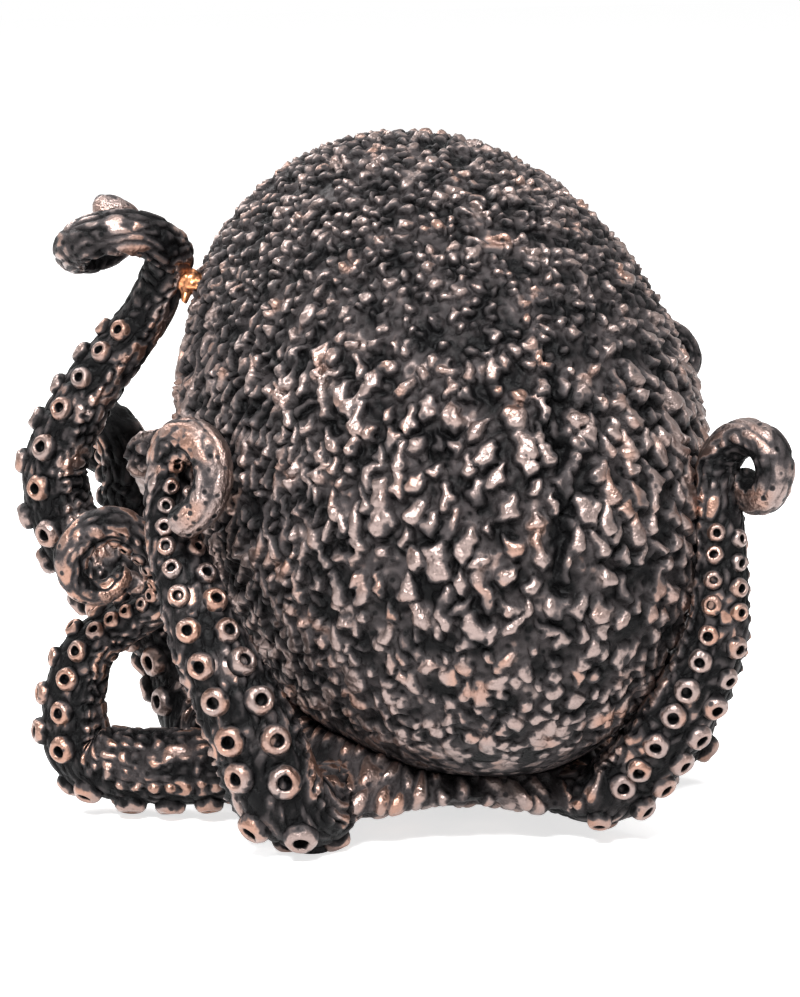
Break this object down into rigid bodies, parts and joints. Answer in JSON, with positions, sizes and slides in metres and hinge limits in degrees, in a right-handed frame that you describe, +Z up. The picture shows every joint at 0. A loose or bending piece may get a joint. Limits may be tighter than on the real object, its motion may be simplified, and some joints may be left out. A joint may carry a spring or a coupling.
{
  "type": "skull octopus figurine",
  "caption": "Free-standing figurine of a skull-faced octopus with a nubbly mantle and curling suckered arms on a cast web.",
  "frame": {"origin": "centre of the bounding box in plan, on the resting plane under the felt pads", "axes": "+Z up; the skull faces -Y; the skull's own left side is +X"},
  "size_m": [0.1548, 0.1648, 0.1384],
  "materials": {
    "cast_resin": "satin",
    "bond_copper": "satin",
    "plug_rubber": null,
    "felt": null
  },
  "bodies": {
    "root": {"skull_mantle_shell": "cast_resin", "web_base": "cast_resin", "arm_rear_left": "cast_resin", "arm_rear_right": "cast_resin", "arm_left_loop": "cast_resin", "arm_left_tall": "cast_resin", "arm_front_left": "cast_resin", "arm_front_right": "cast_resin", "arm_right_loop": "cast_resin", "arm_right_tall": "cast_resin", "arm_tip_bond_bead": "bond_copper", "pour_hole_plug": "plug_rubber", "felt_pad_rear_left": "felt", "felt_pad_rear_right": "felt", "felt_pad_front_right": "felt", "felt_pad_front_left": "felt"}
  },
  "joints": []
}
